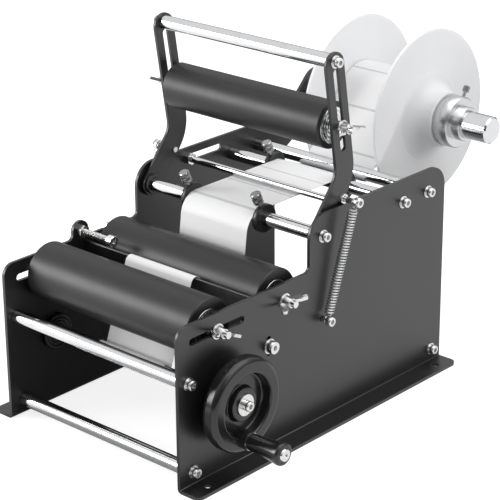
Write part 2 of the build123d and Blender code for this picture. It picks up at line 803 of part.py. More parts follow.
# Reel: a shaft on the left plate's ear, two discs that hold the label roll by its core, and a collar
disc_left_x = web_left - reel_side_gap
disc_right_x = web_right + reel_side_gap
shaft_radius = reel_shaft_diameter / 2
shoulder_x = disc_left_x - reel_disc_thickness - web_clearance
reel_tap = reel_screw_thread / 2
shaft_outline = [
    (-inner_x, reel_tap),
    (-inner_x, reel_shaft_shoulder / 2),
    (shoulder_x, reel_shaft_shoulder / 2),
    (shoulder_x, shaft_radius),
    (reel_shaft_end - 3 * edge_chamfer, shaft_radius),
    (reel_shaft_end, shaft_radius - 3 * edge_chamfer),
    (reel_shaft_end, 0),
    (-inner_x + thread_depth, 0),
    (-inner_x + thread_depth, reel_tap),
]
save(turned(shaft_outline, reel_at), "reel_shaft")

disc_bore = shaft_radius + running_clearance
boss_outer = roll_core_bore / 2 - roll_boss_gap
boss_inner = boss_outer - roll_boss_wall
sleeve_outer = disc_bore + roll_boss_wall


def reel_disc(inner_face, outward, hub_height):
    """One moulded disc: rim plate, core boss, shaft sleeve and, where wanted, a flared outer hub."""
    boss_x = inner_face - outward * roll_boss_depth
    outer_face = inner_face + outward * reel_disc_thickness
    hub_x = outer_face + outward * hub_height
    hub_foot = (outer_face, reel_hub_diameter / 2)
    hub_rim = (hub_x, reel_hub_face_diameter / 2)
    flare = 1 - sin(pi / 4)
    hub_waist = (
        outer_face + flare * (hub_rim[0] - outer_face),
        hub_rim[1] + flare * (hub_foot[1] - hub_rim[1]),
    )
    outline = [
        (boss_x, disc_bore),
        (boss_x, sleeve_outer),
        (inner_face, sleeve_outer),
        (inner_face, boss_inner),
        (boss_x, boss_inner),
        (boss_x, boss_outer),
        (inner_face, boss_outer),
        (inner_face, reel_disc_diameter / 2),
        (outer_face, reel_disc_diameter / 2),
    ]
    with BuildPart() as disc:
        with BuildSketch(lengthwise(reel_at)):
            with BuildLine():
                if hub_height == 0:
                    Polyline(*outline, (outer_face, disc_bore), close=True)
                else:
                    Polyline(*outline, hub_foot)
                    ThreePointArc(hub_foot, hub_waist, hub_rim)
                    Polyline(hub_rim, (hub_x, disc_bore), (boss_x, disc_bore))
            make_face()
        revolve(axis=Axis((0, *reel_at), (1, 0, 0)))
    return disc.part


save(reel_disc(disc_left_x, -1, 0), "left_reel_disc")
save(reel_disc(disc_right_x, 1, reel_hub_height), "right_reel_disc")
save(turned(ring_outline(web_left, web_right, roll_core_bore, roll_diameter), reel_at), "label_roll")

collar_x = disc_right_x + reel_disc_thickness + reel_hub_height + web_clearance
nose_x = collar_x + collar_body_length
collar_outline = [
    (collar_x, disc_bore),
    (collar_x, collar_body_diameter / 2 - edge_chamfer),
    (collar_x + edge_chamfer, collar_body_diameter / 2),
    (nose_x - 2 * edge_chamfer, collar_body_diameter / 2),
    (nose_x, collar_body_diameter / 2 - 2 * edge_chamfer),
    (nose_x, collar_nose_diameter / 2),
    (nose_x + collar_nose_length - edge_chamfer, collar_nose_diameter / 2),
    (nose_x + collar_nose_length, collar_nose_diameter / 2 - edge_chamfer),
    (nose_x + collar_nose_length, disc_bore),
]
reel_thumb_seat = shaft_radius + fixed_clearance
reel_thumb_top = collar_body_diameter / 2 + reel_thumb_neck
reel_thumb_plane = Plane.XY.rotated((reel_thumb_tilt, 0, 0))
reel_thumb_place = Location((collar_x + collar_body_length / 2, *reel_at)) * reel_thumb_plane.location
with BuildPart() as reel_collar:
    add(turned(collar_outline, reel_at))
    with BuildSketch(Plane(reel_thumb_place)):
        Circle(thumb_thread / 2 + running_clearance)
    extrude(amount=collar_body_diameter, mode=Mode.SUBTRACT)
save(reel_collar.part, "reel_collar")
with BuildPart() as reel_thumb_screw:
    with Locations(reel_thumb_place):
        add(thumb_screw(reel_thumb_seat, reel_thumb_top, reel_thumb_head_diameter, reel_thumb_head_length))
save(reel_thumb_screw.part, "reel_thumb_screw")

# Take-up shaft in two flanged bearings, turned by the handwheel
journal = takeup_journal / 2
tube_end_x = inner_x - takeup_end_gap
wheel_front_x = outer_x + wheel_gap + wheel_rim_width
boss_front_x = wheel_front_x - wheel_boss_setback
takeup_outline = [
    (-outer_x - takeup_tail, 0),
    (-outer_x - takeup_tail, journal),
    (-tube_end_x, journal),
    (-tube_end_x, takeup_diameter / 2),
    (tube_end_x, takeup_diameter / 2),
    (tube_end_x, journal),
    (boss_front_x, journal),
    (boss_front_x, rod_thread / 2),
    (boss_front_x - thread_depth, rod_thread / 2),
    (boss_front_x - thread_depth, 0),
]
save(turned(takeup_outline, takeup_at), "takeup_shaft")

bearing_bore = journal + running_clearance
bearing_outline = [
    (inner_x - bearing_flange_thickness, bearing_bore),
    (inner_x - bearing_flange_thickness, bearing_flange_diameter / 2),
    (inner_x, bearing_flange_diameter / 2),
    (inner_x, bearing_body_diameter / 2),
    (outer_x, bearing_body_diameter / 2),
    (outer_x, bearing_bore),
]
with BuildPart() as takeup_bearings:
    for outward in (-1, 1):
        add(turned([(outward * x, radius) for x, radius in bearing_outline], takeup_at))
save(takeup_bearings.part, "takeup_bearings")

# Handwheel: moulded rim, thin dished web and boss, held on the shaft by a screw and washer
rim_outer = wheel_diameter / 2
rim_inner = rim_outer - wheel_rim_height
rim_back_x = wheel_front_x - wheel_rim_width
web_front_x = wheel_front_x - wheel_web_setback
web_back_x = web_front_x - wheel_web_thickness
boss_radius = wheel_boss_diameter / 2
hub_back_x = outer_x + wheel_hub_gap
grip_boss_x = wheel_front_x + grip_boss_length
grip_at = (
    takeup_at[0] + grip_radius * cos(radians(grip_angle)),
    takeup_at[1] + grip_radius * sin(radians(grip_angle)),
)
with BuildPart() as handwheel:
    with BuildSketch(lengthwise(takeup_at)):
        with BuildLine():
            FilletPolyline(
                (hub_back_x, journal + fixed_clearance),
                (hub_back_x, wheel_hub_diameter / 2),
                (web_back_x, boss_radius),
                (web_back_x, rim_inner + 2 * wheel_draft),
                (rim_back_x, rim_inner + 4 * wheel_draft),
                (rim_back_x, rim_outer),
                (wheel_front_x, rim_outer),
                (wheel_front_x, rim_inner),
                (web_front_x, rim_inner - wheel_draft),
                (web_front_x, boss_radius + wheel_draft),
                (boss_front_x, boss_radius),
                (boss_front_x, journal + fixed_clearance),
                radius=[
                    0,
                    wheel_small_radius,
                    wheel_small_radius,
                    wheel_small_radius,
                    wheel_recess_radius,
                    wheel_rim_radius,
                    wheel_rim_radius,
                    wheel_recess_radius,
                    wheel_recess_radius,
                    wheel_small_radius,
                    wheel_small_radius,
                    0,
                ],
                close=True,
            )
        make_face()
    revolve(axis=Axis((0, *takeup_at), (1, 0, 0)))
    with BuildSketch(upright(web_front_x)):
        with Locations(grip_at):
            Circle(grip_boss_diameter / 2)
    extrude(amount=grip_boss_x - web_front_x)
    with BuildSketch(upright(grip_boss_x)):
        with Locations(grip_at):
            Circle(grip_spindle_diameter / 2 + fixed_clearance)
    extrude(amount=-grip_spindle_depth, mode=Mode.SUBTRACT)
save(handwheel.part, "handwheel")

wheel_screw_x = boss_front_x + wheel_washer_thickness + fixed_clearance
with BuildPart() as handwheel_screw:
    with Locations(facing(boss_front_x, takeup_at, 1)):
        add(washer(rod_thread + screw_hole_clearance, wheel_washer_diameter, wheel_washer_thickness))
    with Locations(facing(wheel_screw_x, takeup_at, 1)):
        add(cap_screw(shank, thread_depth))
save(handwheel_screw.part, "handwheel_screw")

# Handwheel grip: a tapered barrel that turns on a shouldered spindle
spindle = grip_spindle_diameter / 2
collar_end_x = grip_boss_x + grip_collar_length
grip_start_x = collar_end_x + running_clearance
grip_end_x = grip_start_x + grip_length
cap_x = grip_end_x + running_clearance
spindle_outline = [
    (grip_boss_x - grip_spindle_depth, 0),
    (grip_boss_x - grip_spindle_depth, spindle),
    (grip_boss_x, spindle),
    (grip_boss_x, grip_collar_diameter / 2),
    (collar_end_x, grip_collar_diameter / 2),
    (collar_end_x, spindle),
    (cap_x, spindle),
    (cap_x, grip_cap_diameter / 2),
    (cap_x + grip_cap_length, grip_cap_diameter / 2 - edge_chamfer),
    (cap_x + grip_cap_length, socket_width / 2),
    (cap_x + grip_cap_length - grip_socket_depth, socket_width / 2),
    (cap_x + grip_cap_length - grip_socket_depth, 0),
]
save(turned(spindle_outline, grip_at), "grip_spindle")

grip_bore = spindle + running_clearance
grip_base = (grip_start_x, grip_base_diameter / 2)
grip_belly = (grip_start_x + grip_length * grip_belly_share, grip_belly_diameter / 2)
grip_end = (grip_end_x, grip_end_diameter / 2)
with BuildPart() as handle_grip:
    with BuildSketch(lengthwise(grip_at)):
        with BuildLine():
            Spline(grip_base, grip_belly, grip_end, tangents=[(1, 0), (0, -1)])
            Polyline(grip_end, (grip_end_x, grip_bore), (grip_start_x, grip_bore), grip_base)
        make_face()
    revolve(axis=Axis((0, *grip_at), (1, 0, 0)))
save(handle_grip.part, "handle_grip")

# Label web: one strip of backing paper from the roll, under the rear rod, over the middle and pivot
# rods, under the rear roller, over the peel edge and onto the take-up shaft from behind. The stiff
# paper bends wider than the pivot rod and the peel edge, and touches them on top.
pivot_bend_at = (arm_pivot_at[0], arm_pivot_at[1] + rod_diameter / 2 - pivot_bend_radius)
peel_bend_at = (peel_edge_at[0], peel_edge_at[1] + peel_thickness / 2 - peel_bend_radius)
web_wraps = [
    (reel_at, roll_diameter / 2, 1),
    (rear_web_rod_at, rod_diameter / 2, -1),
    (middle_web_rod_at, rod_diameter / 2, 1),
    (pivot_bend_at, pivot_bend_radius, 1),
    (rear_roller_at, roller_diameter / 2, -1),
    (peel_bend_at, peel_bend_radius, 1),
    (takeup_at, takeup_diameter / 2, -1),
]
winding_sweep = radians(takeup_winding_angle)


def web_edge(lift):
    """Draw one long edge of the strip's section, lifted off everything that it wraps."""
    centre_gap = web_clearance + web_thickness / 2
    wraps = [(centre, radius + centre_gap - turn * lift, turn) for centre, radius, turn in web_wraps]
    runs = [tangent_run(*pair) for pair in zip(wraps, wraps[1:])]
    for index, (start, end) in enumerate(runs):
        Line(start, end)
        wrap = wraps[index + 1]
        if index + 1 < len(runs):
            leave = runs[index + 1][0]
            centre, turn = wrap[0], wrap[2]
            arrive_angle = atan2(end[1] - centre[1], end[0] - centre[0])
            leave_angle = atan2(leave[1] - centre[1], leave[0] - centre[0])
            sweep = (turn * (leave_angle - arrive_angle)) % (2 * pi)
        else:
            sweep = winding_sweep
        ThreePointArc(end, *bend_points(wrap, end, sweep))
    return runs[0][0], bend_points(wraps[-1], runs[-1][1], winding_sweep)[1]


with BuildPart() as label_web:
    with BuildSketch(upright(web_left)):
        with BuildLine():
            near_ends = web_edge(-web_thickness / 2)
            far_ends = web_edge(web_thickness / 2)
            Line(near_ends[0], far_ends[0])
            Line(near_ends[1], far_ends[1])
        make_face()
    extrude(amount=web_right - web_left)
save(label_web.part, "label_web")
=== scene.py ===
import json
from math import cos, pi, radians, sin, tau

import bmesh
import bpy
from mathutils import Matrix, Vector


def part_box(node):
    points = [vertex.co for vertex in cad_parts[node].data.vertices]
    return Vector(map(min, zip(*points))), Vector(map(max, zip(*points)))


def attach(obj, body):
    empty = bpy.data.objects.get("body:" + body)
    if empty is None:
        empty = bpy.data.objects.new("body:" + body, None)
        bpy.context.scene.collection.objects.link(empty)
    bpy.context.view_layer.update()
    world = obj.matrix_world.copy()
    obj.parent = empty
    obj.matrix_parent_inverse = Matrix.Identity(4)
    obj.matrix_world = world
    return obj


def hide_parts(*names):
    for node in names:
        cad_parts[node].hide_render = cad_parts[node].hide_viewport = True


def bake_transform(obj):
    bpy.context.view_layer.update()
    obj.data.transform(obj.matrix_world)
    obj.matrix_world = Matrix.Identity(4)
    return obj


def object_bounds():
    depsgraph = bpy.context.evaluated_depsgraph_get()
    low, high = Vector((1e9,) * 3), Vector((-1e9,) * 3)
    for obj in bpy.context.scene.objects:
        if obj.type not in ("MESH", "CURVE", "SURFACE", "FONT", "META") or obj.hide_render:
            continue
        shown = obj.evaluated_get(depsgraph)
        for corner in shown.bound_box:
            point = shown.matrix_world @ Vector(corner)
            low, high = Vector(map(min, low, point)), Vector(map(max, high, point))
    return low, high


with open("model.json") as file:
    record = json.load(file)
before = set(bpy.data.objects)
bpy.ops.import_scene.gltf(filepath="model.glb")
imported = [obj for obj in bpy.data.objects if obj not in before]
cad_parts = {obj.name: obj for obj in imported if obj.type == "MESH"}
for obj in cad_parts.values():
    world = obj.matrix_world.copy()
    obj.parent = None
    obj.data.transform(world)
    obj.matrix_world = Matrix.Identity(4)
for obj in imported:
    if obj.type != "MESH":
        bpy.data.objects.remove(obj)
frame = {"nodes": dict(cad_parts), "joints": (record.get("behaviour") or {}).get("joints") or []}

cad_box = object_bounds()
nodes = frame["nodes"]
joints = {joint["name"]: joint for joint in frame["joints"]}


# Side plates: two sheets of 3 mm mild steel, laser cut and folded outward into feet, then powder
# coated in a fine satin black that rounds the cut edges. Everything else is bolted between them.
class Signal:
    """A socket of a finish. Sums on signals add Math nodes, and node() adds any other node."""

    def __init__(self, socket):
        self.socket = socket

    def node(self, kind, settings=None, sockets=None, output=0):
        """Add a node by its type, its settings, and then the values or links of its sockets."""
        tree = self.socket.id_data
        made = tree.nodes.new("ShaderNode" + kind)
        for key, value in (settings or {}).items():
            setattr(made, key, value)
        for key, value in (sockets or {}).items():
            if isinstance(value, Signal):
                tree.links.new(value.socket, made.inputs[key])
            else:
                made.inputs[key].default_value = value
        return Signal(made.outputs[output])

    def maths(self, operation, first, second=0.0):
        """Add a Math node on two signals or numbers."""
        return self.node("Math", {"operation": operation}, {0: first, 1: second})

    def __add__(self, other):
        return self.maths("ADD", self, other)

    def __sub__(self, other):
        return self.maths("SUBTRACT", self, other)

    def __rsub__(self, other):
        return self.maths("SUBTRACT", other, self)

    def __mul__(self, other):
        return self.maths("MULTIPLY", self, other)

    def __pow__(self, other):
        return self.maths("POWER", self, other)

    __radd__ = __add__
    __rmul__ = __mul__


def finish(name, **constants):
    """A new material: returns it, its shader with these constant sockets, and the place in the part."""
    material = bpy.data.materials.new(name)
    material.use_nodes = True
    shader = material.node_tree.nodes["Principled BSDF"]
    for socket, value in constants.items():
        shader.inputs[socket.replace("_", " ")].default_value = value
    return material, shader, Signal(shader.outputs[0]).node("TexCoord", output="Object")


def feed(shader, **signals):
    """Link signals to a shader's sockets."""
    for socket, signal in signals.items():
        shader.id_data.links.new(signal.socket, shader.inputs[socket.replace("_", " ")])


def noise(place, scale, detail=2.0, stretch=(1.0, 1.0, 1.0)):
    """Noise from 0 to 1 with this many waves a metre, stretched along some axes."""
    drawn = place.node("VectorMath", {"operation": "MULTIPLY"}, {0: place, 1: stretch})
    return place.node("TexNoise", {}, {"Vector": drawn, "Scale": scale, "Detail": detail})


def blend_colours(share, first, second):
    """A colour between two others."""
    return share.node("Mix", {"data_type": "RGBA"}, {0: share, 6: first, 7: second}, 2)


def relief(height, depth):
    """A surface normal from a height signal whose full step is this deep."""
    return height.node("Bump", {}, {"Height": height, "Distance": depth, "Strength": 1.0}, "Normal")


def dress(material, *names):
    """Give CAD nodes a finish."""
    for name in names:
        nodes[name].data.materials.clear()
        nodes[name].data.materials.append(material)


facet_gap = 1e-6
sharp_edge_angle = radians(50)
plate_edge = 0.0005


def soften(width, *names):
    """Round the sharp edges of CAD nodes for the eye, as coating or tumbling does."""
    for name in names:
        weld = nodes[name].modifiers.new("joined_facets", "WELD")
        weld.merge_threshold = facet_gap
        bevel = nodes[name].modifiers.new("rounded_edges", "BEVEL")
        bevel.width = width
        bevel.segments = 2
        bevel.angle_limit = sharp_edge_angle
        bevel.use_clamp_overlap = True
        bevel.harden_normals = True


coat, shader, place = finish("black_powder_coat", Specular_IOR_Level=0.75)
grain = noise(place, 1400.0, 3.0)
cloud = noise(place, 9.0, 4.0)
feed(
    shader,
    Base_Color=blend_colours(cloud, (0.006, 0.0062, 0.0067, 1.0), (0.009, 0.0092, 0.0099, 1.0)),
    Roughness=0.26 + 0.12 * grain + 0.06 * cloud,
    Normal=relief(grain, 0.00004),
)
dress(coat, "left_side_plate", "right_side_plate")
soften(plate_edge, "left_side_plate", "right_side_plate")


# Tie rods and web rods: ground 12 mm steel bars, chromed, tapped at both ends and clamped between
# the plates. The web rods carry the paper; the arm swings on the front one.
chrome, shader, place = finish("polished_chrome", Metallic=1.0)
haze = noise(place, 60.0, 3.0)
drawn_lines = noise(place, 900.0, 2.0, (0.02, 1.0, 1.0))
feed(
    shader,
    Base_Color=blend_colours(haze, (0.60, 0.605, 0.615, 1.0), (0.70, 0.705, 0.715, 1.0)),
    Roughness=0.05 + 0.06 * haze + 0.05 * drawn_lines,
    Normal=relief(drawn_lines, 0.000004),
)
dress(chrome, "front_upper_rod", "front_lower_rod", "rear_lower_rod")
dress(chrome, "rear_web_rod", "middle_web_rod", "arm_pivot_rod")


# Screws, washers and nuts: standard M5 to M8 socket screws and hexagon nuts, cold headed, bright
# zinc plated, with the faint mottling that plating leaves.
plating_grain = 420.0
fastener_edge = 0.0002

zinc, shader, place = finish("bright_zinc_plate", Metallic=1.0)
mottle = noise(place, plating_grain, 4.0)
feed(
    shader,
    Base_Color=blend_colours(mottle, (0.58, 0.58, 0.575, 1.0), (0.78, 0.78, 0.775, 1.0)),
    Roughness=0.16 + 0.16 * mottle,
    Normal=relief(mottle, 0.00001),
)


def plate_fasteners(*names):
    """Give screws, washers and nuts their zinc plate and tumbled edges."""
    dress(zinc, *names)
    soften(fastener_edge, *names)


plate_fasteners("frame_screws", "frame_washers", "frame_nuts")


# Bottle stop: a long M6 socket screw through a tab on the left plate, locked by a nut. Its rolled
# thread runs from the tab to just under the head.
thread_pitch = 0.001
thread_depth = 0.0002
stop_head_length = 0.006
stop_thread_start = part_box("bottle_stop_screw")[0].x
stop_thread_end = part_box("bottle_stop_screw")[1].x - stop_head_length


def along(place, axis):
    """One coordinate of a place, in metres."""
    return place.node("SeparateXYZ", {}, {"Vector": place}, axis)


def ramp(value, low, high):
    """A smooth step from 0 at low to 1 at high."""
    sockets = {"Value": value, "From Min": low, "From Max": high}
    return value.node("MapRange", {"interpolation_type": "SMOOTHSTEP"}, sockets)


stop_zinc, shader, place = finish("threaded_zinc", Metallic=1.0)
x = along(place, "X")
crest = x.maths("PINGPONG", x, thread_pitch / 2) * (2 / thread_pitch)
past_start = ramp(x, stop_thread_start, stop_thread_start + thread_pitch)
threaded = past_start * (1 - ramp(x, stop_thread_end - thread_pitch, stop_thread_end))
mottle = noise(place, plating_grain, 4.0)
# Painted shade: the zinc is coloured darker in the thread's roots and lighter on its crests, following
# the bump.
bright = threaded * crest + (1 - threaded)
feed(
    shader,
    Base_Color=blend_colours(bright, (0.56, 0.56, 0.55, 1.0), (0.82, 0.82, 0.81, 1.0)),
    Roughness=0.18 + 0.12 * mottle,
    Normal=relief(crest * threaded, thread_depth),
)
dress(stop_zinc, "bottle_stop_screw")


# Bottle rollers: steel tube covered in ground black rubber, running on shielded ball bearings. The
# shouldered shafts end in M6 studs, which wing nuts clamp to the plates or the arms.
wing_nut_edge = 0.0005
shield_groove = 0.0016
shield_depth = 0.00025
# Groove and land colours of the roller bearings: the darker groove colour is painted shade in the shield
# rings.
ground_steel = ((0.50, 0.51, 0.52, 1.0), (0.82, 0.83, 0.84, 1.0))

rubber, shader, place = finish("ground_rubber", Specular_IOR_Level=0.48)
grinding = noise(place, 700.0, 2.0, (1.0, 0.06, 0.06))
dust = noise(place, 35.0, 4.0)
feed(
    shader,
    Base_Color=blend_colours(dust, (0.007, 0.0072, 0.0077, 1.0), (0.012, 0.0123, 0.0130, 1.0)),
    Roughness=0.37 + 0.07 * grinding + 0.07 * dust,
    Normal=relief(grinding, 0.00003),
)


def axis_distance(place, axis_y, axis_z):
    """Distance from an axis that runs along X."""
    return ((along(place, "Y") - axis_y) ** 2 + (along(place, "Z") - axis_z) ** 2) ** 0.5


def bearing_finish(name, axis_y, axis_z, groove_shade_colour, land_colour):
    """Bearing steel whose face shows fine rings round one axis along X, with painted shade darkening the
    ring grooves.
    """
    material, shader, place = finish(name, Metallic=1.0)
    reach = axis_distance(place, axis_y, axis_z)
    groove = reach.maths("PINGPONG", reach, shield_groove) * (1 / shield_groove)
    scuff = noise(place, 300.0, 3.0)
    feed(
        shader,
        Base_Color=blend_colours(groove, groove_shade_colour, land_colour),
        Roughness=0.16 + 0.18 * scuff,
        Normal=relief(groove, shield_depth),
    )
    return material


for roller in ("front_roller", "rear_roller", "press_roller"):
    low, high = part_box(roller)
    middle = (low + high) / 2
    bearing_steel = bearing_finish(roller + "_bearing_steel", middle.y, middle.z, *ground_steel)
    dress(rubber, roller)
    dress(bearing_steel, roller + "_bearings")
    dress(chrome, roller + "_shaft")
    dress(zinc, roller + "_wing_nut_left", roller + "_wing_nut_right")
    soften(wing_nut_edge, roller + "_wing_nut_left", roller + "_wing_nut_right")


# Press arm: two bent and slotted steel strips with bosses welded round the pivot rod, coated like
# the plates, joined at the top by a chromed handle bar.
arm_edge = 0.0004
dress(coat, "left_arm", "right_arm")
soften(arm_edge, "left_arm", "right_arm")
dress(chrome, "handle_bar")
plate_fasteners("arm_screws", "arm_washers", "arm_nuts", "spring_anchor_screws")


# Arm springs: close tension springs of 1.6 mm drawn wire, hooked between an anchor screw on each
# plate and a post screw on each arm, so they hold the arm up or down past the middle.
wire_diameter = 0.0016
coil_diameter = 0.0086
coil_pitch = 0.0024
coil_end_share = 0.3
points_per_turn = 16
eye_diameter = 0.0084
hook_bearing = 0.0006
hook_start = radians(-35)
hook_sweep = radians(315)
hook_steps = 22
hook_overlap = 2
anchor_at = Vector((0.1065, 0.003, 0.094))
post_at = Vector((0.1119, 0.031, 0.1926))

spring_steel, shader, place = finish("drawn_spring_wire", Metallic=1.0)
streak = noise(place, 500.0, 3.0)
feed(
    shader,
    Base_Color=blend_colours(streak, (0.44, 0.445, 0.45, 1.0), (0.74, 0.745, 0.75, 1.0)),
    Roughness=0.18 + 0.14 * streak,
)


def placed(name, data):
    """A new object in the scene."""
    made = bpy.data.objects.new(name, data)
    bpy.context.scene.collection.objects.link(made)
    return made


def hook_points(screw_at, towards):
    """Points of a hook: most of a loop in the Y-Z plane round a screw, from the coil's side on."""
    run = (Vector((0, towards.y, towards.z)) - Vector((0, screw_at.y, screw_at.z))).normalized()
    side = Vector((0, -run.z, run.y))
    centre = screw_at + run * hook_bearing
    radius = eye_diameter / 2 - wire_diameter / 2
    angles = [hook_start + hook_sweep * step / hook_steps for step in range(hook_steps + 1)]
    return [centre + run * radius * cos(a) + side * radius * sin(a) for a in angles]


def wire_mesh(name, points, diameter):
    """A round wire along these points as a mesh object."""
    curve = bpy.data.curves.new(name, "CURVE")
    curve.dimensions = "3D"
    curve.bevel_depth = diameter / 2
    curve.bevel_resolution = 2
    curve.use_fill_caps = True
    spline = curve.splines.new("POLY")
    spline.points.add(len(points) - 1)
    for spot, point in zip(spline.points, points):
        spot.co = (*point, 1.0)
    holder = bpy.data.objects.new(name + "_line", curve)
    mesh = bpy.data.meshes.new_from_object(holder)
    bpy.data.objects.remove(holder)
    mesh.name = name
    mesh.shade_smooth()
    return placed(name, mesh)


def arm_spring(name, mirror):
    """One spring with its two hooks, on the right side or mirrored to the left."""
    run = (post_at - anchor_at).normalized()
    low = anchor_at + run * (hook_bearing + eye_diameter / 2)
    high = post_at - run * (hook_bearing + eye_diameter / 2)
    radius = (coil_diameter - wire_diameter) / 2
    across = Vector((1, 0, 0)).cross(run).normalized()
    outward = run.cross(across)
    turns = round((high - low).length / coil_pitch)
    coil = []
    for step in range(turns * points_per_turn + 1):
        angle = tau * step / points_per_turn
        opened = min(1.0, step / points_per_turn, turns - step / points_per_turn)
        swell = opened * (1 - coil_end_share) + coil_end_share
        centre = low.lerp(high, step / (turns * points_per_turn))
        coil.append(centre + (across * cos(angle) + outward * sin(angle)) * radius * swell)
    lower_hook = hook_points(anchor_at, post_at)[::-1][:-hook_overlap]
    upper_hook = hook_points(post_at, anchor_at)[hook_overlap:]
    path = lower_hook + coil + upper_hook
    piece = wire_mesh(name, [Vector((mirror * p.x, p.y, p.z)) for p in path], wire_diameter)
    piece.data.materials.append(spring_steel)
    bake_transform(piece)
    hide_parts("arm_springs")


arm_spring("left_arm_spring", -1)
arm_spring("right_arm_spring", 1)


# Peel blade: a leaning steel sheet with a rounded upper edge that the web is drawn over, coated like
# the plates and set in height by a washered screw in a slot at each end.
dress(coat, "peel_plate")
plate_fasteners("peel_screws")


# Web hold-down: a thin bright drawn rod that lies over the paper. Two zinc-plated nuts clamp it in
# the left plate's slot, so its height can be set.
dress(chrome, "hold_down_rod")
plate_fasteners("hold_down_nuts")


# Web edge collars: blackened steel rings that slide on the web rods to guide the paper's edges, each
# locked by a small thumb screw with a diamond-knurled head.
collar_edge = 0.0004
knurl_teeth = 26
points_per_tooth = 4
knurl_depth = 0.0006
knurl_rings = 18
thumb_thread = 0.003
thumb_rim = 0.0006
thumb_top_ratio = 5
web_rod_seat = 0.00603
collar_neck = 0.0165
collar_thumb_diameter = 0.0095
collar_thumb_length = 0.0105

oxide, shader, place = finish("black_oxide", Specular_IOR_Level=0.5)
turning = noise(place, 800.0, 2.0, (1.0, 0.05, 0.05))
feed(
    shader,
    Base_Color=blend_colours(turning, (0.012, 0.012, 0.013, 1.0), (0.024, 0.024, 0.026, 1.0)),
    Roughness=0.26 + 0.14 * turning,
    Normal=relief(turning, 0.00002),
)

nickel, shader, place = finish("knurled_nickel", Metallic=1.0)
wear = noise(place, 600.0, 3.0)
feed(
    shader,
    Base_Color=blend_colours(wear, (0.26, 0.26, 0.265, 1.0), (0.46, 0.46, 0.465, 1.0)),
    Roughness=0.18 + 0.14 * wear,
)


def mesh_piece(name, shape, material):
    """A visible piece from a finished shape, which is used up."""
    mesh = bpy.data.meshes.new(name)
    shape.to_mesh(mesh)
    shape.free()
    mesh.materials.append(material)
    return placed(name, mesh)


def knurled_screw(name, node, body, joint, tip, neck, diameter, length):
    """A thumb screw on a joint's axis, with distances along it from that axis's origin."""
    axis = Vector(joint["axis"]).normalized()
    seat = Matrix.Translation(joint["pos_m"]) @ axis.to_track_quat("Z", "Y").to_matrix().to_4x4()
    segments = knurl_teeth * points_per_tooth
    rim_radius = diameter / 2 - 2 * thumb_rim
    root_radius = diameter / 2 - knurl_depth
    profile = [(tip, thumb_thread / 2, 0), (neck - thumb_rim, thumb_thread / 2, 0)]
    profile += [(neck, rim_radius, 0), (neck + thumb_rim, root_radius, 0)]
    for ring in range(knurl_rings + 1):
        height = neck + thumb_rim + (length - 2 * thumb_rim) * ring / knurl_rings
        profile.append((height, diameter / 2, 1))
    profile += [(neck + length - thumb_rim, root_radius, 0), (neck + length, rim_radius, 0)]
    profile += [(neck + length, diameter / thumb_top_ratio, 0)]
    lead = knurl_teeth / (pi * diameter)
    shape = bmesh.new()
    rings = []
    for height, radius, knurled in profile:
        ring = []
        for step in range(segments):
            share = step / segments
            right = abs((share * knurl_teeth + height * lead) % 1.0 - 0.5)
            left = abs((share * knurl_teeth - height * lead) % 1.0 - 0.5)
            reach = radius - knurled * knurl_depth * (right + left)
            ring.append(shape.verts.new((reach * cos(tau * share), reach * sin(tau * share), height)))
        rings.append(ring)
    for lower, upper in zip(rings, rings[1:]):
        for step in range(segments):
            after = (step + 1) % segments
            shape.faces.new((lower[step], lower[after], upper[after], upper[step]))
    shape.faces.new(rings[0][::-1])
    shape.faces.new(rings[-1])
    shape.transform(seat)
    piece = mesh_piece(name, shape, nickel)
    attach(piece, body)
    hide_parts(node)


for guide in ("guide", "rear"):
    for side in ("left", "right"):
        dress(oxide, f"{guide}_collar_{side}")
        soften(collar_edge, f"{guide}_collar_{side}")
        knurled_screw(
            f"{guide}_knurled_screw_{side}",
            f"{guide}_thumb_screw_{side}",
            f"{guide}_{side}_thumb",
            joints[f"{guide}_thumb_{side}_turn"],
            web_rod_seat,
            collar_neck,
            collar_thumb_diameter,
            collar_thumb_length,
        )


# Reel: a turned steel shaft on the left plate's ear, two frosted moulded discs that grip the roll by
# its core, and a turned aluminium collar with a thumb screw that keeps them together.
reel_y, reel_z = joints["reel_spin"]["pos_m"][1:]
disc_edge = 0.0006
reel_collar_edge = 0.0003
reel_seat = 0.01253
reel_neck = 0.0285
reel_thumb_diameter = 0.0065
reel_thumb_length = 0.006


def ring_noise(place, scale):
    """Noise that only changes with the distance from the reel's axis."""
    reach = axis_distance(place, reel_y, reel_z)
    return noise(reach.node("CombineXYZ", {}, {"X": reach}), scale)


dress(chrome, "reel_shaft")

frosted, shader, place = finish(
    "frosted_white_plastic",
    Subsurface_Weight=0.8,
    Subsurface_Radius=(1.0, 1.0, 1.0),
    Subsurface_Scale=0.01,
    Specular_IOR_Level=0.35,
)
milk = noise(place, 25.0, 4.0)
frost = noise(place, 1600.0, 2.0)
rings = ring_noise(place, 420.0)
feed(
    shader,
    Base_Color=blend_colours(milk, (0.785, 0.788, 0.805, 1.0), (0.835, 0.838, 0.853, 1.0)),
    Roughness=0.34 + 0.10 * frost + 0.08 * rings,
    Normal=relief(frost * 0.5 + rings * 0.5, 0.00002),
)
dress(frosted, "left_reel_disc", "right_reel_disc")
soften(disc_edge, "left_reel_disc", "right_reel_disc")

